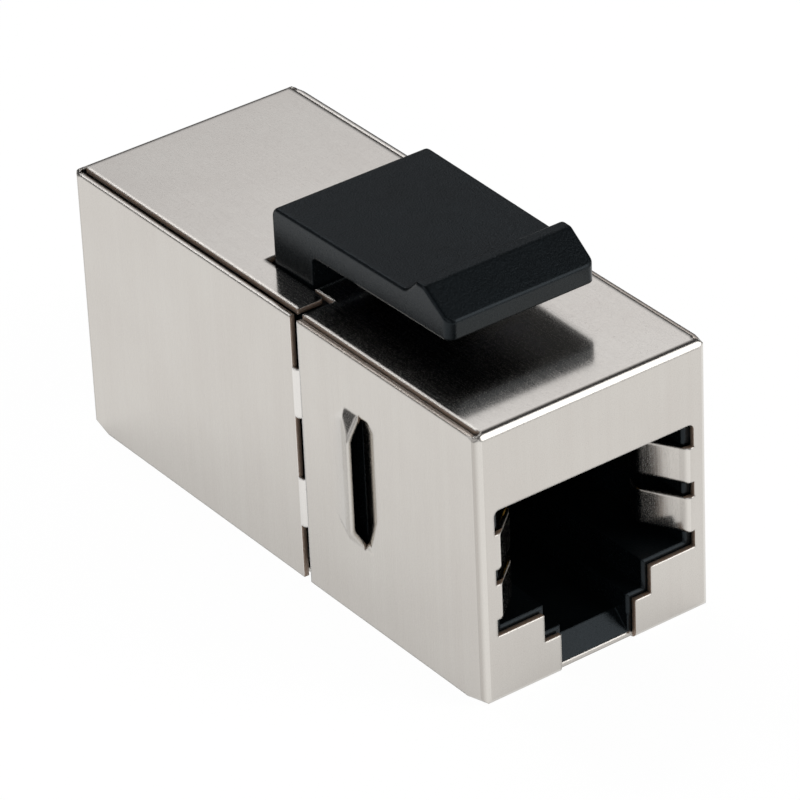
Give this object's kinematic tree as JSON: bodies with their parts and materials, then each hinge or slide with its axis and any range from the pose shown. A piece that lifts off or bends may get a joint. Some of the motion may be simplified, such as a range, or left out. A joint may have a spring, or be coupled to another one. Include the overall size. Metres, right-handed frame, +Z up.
{
  "type": "rj45 inline coupler",
  "caption": "Shielded inline coupler with a modular plug port at each end of a folded metal box, and a black keystone latch arm on top for a panel opening.",
  "frame": {"origin": "under the middle of the shield, on the plane of its floor", "axes": "+Z up towards the latch, -Y out of the front port, +Y out of the rear port, X across"},
  "size_m": [0.0164, 0.0358, 0.0206],
  "materials": {
    "nickel_plated_sheet": "nickel plated cold-rolled sheet, satin to semi-bright",
    "moulded_black_plastic": "black injection-moulded, fine spark texture",
    "carrier_plastic": "black injection-moulded, smooth",
    "board_laminate": "glass-fibre laminate with green solder mask",
    "gold_plated_bronze": "gold plated spring wire"
  },
  "bodies": {
    "root": {"front_shield": "nickel_plated_sheet", "rear_shield": "nickel_plated_sheet", "latch_housing": "moulded_black_plastic", "rear_housing": "moulded_black_plastic", "circuit_board": "board_laminate", "front_contact_carrier": "carrier_plastic", "rear_contact_carrier": "carrier_plastic", "front_contact_1": "gold_plated_bronze", "front_contact_2": "gold_plated_bronze", "front_contact_3": "gold_plated_bronze", "front_contact_4": "gold_plated_bronze", "front_contact_5": "gold_plated_bronze", "front_contact_6": "gold_plated_bronze", "front_contact_7": "gold_plated_bronze", "front_contact_8": "gold_plated_bronze", "rear_contact_1": "gold_plated_bronze", "rear_contact_2": "gold_plated_bronze", "rear_contact_3": "gold_plated_bronze", "rear_contact_4": "gold_plated_bronze", "rear_contact_5": "gold_plated_bronze", "rear_contact_6": "gold_plated_bronze", "rear_contact_7": "gold_plated_bronze", "rear_contact_8": "gold_plated_bronze"}
  },
  "joints": []
}
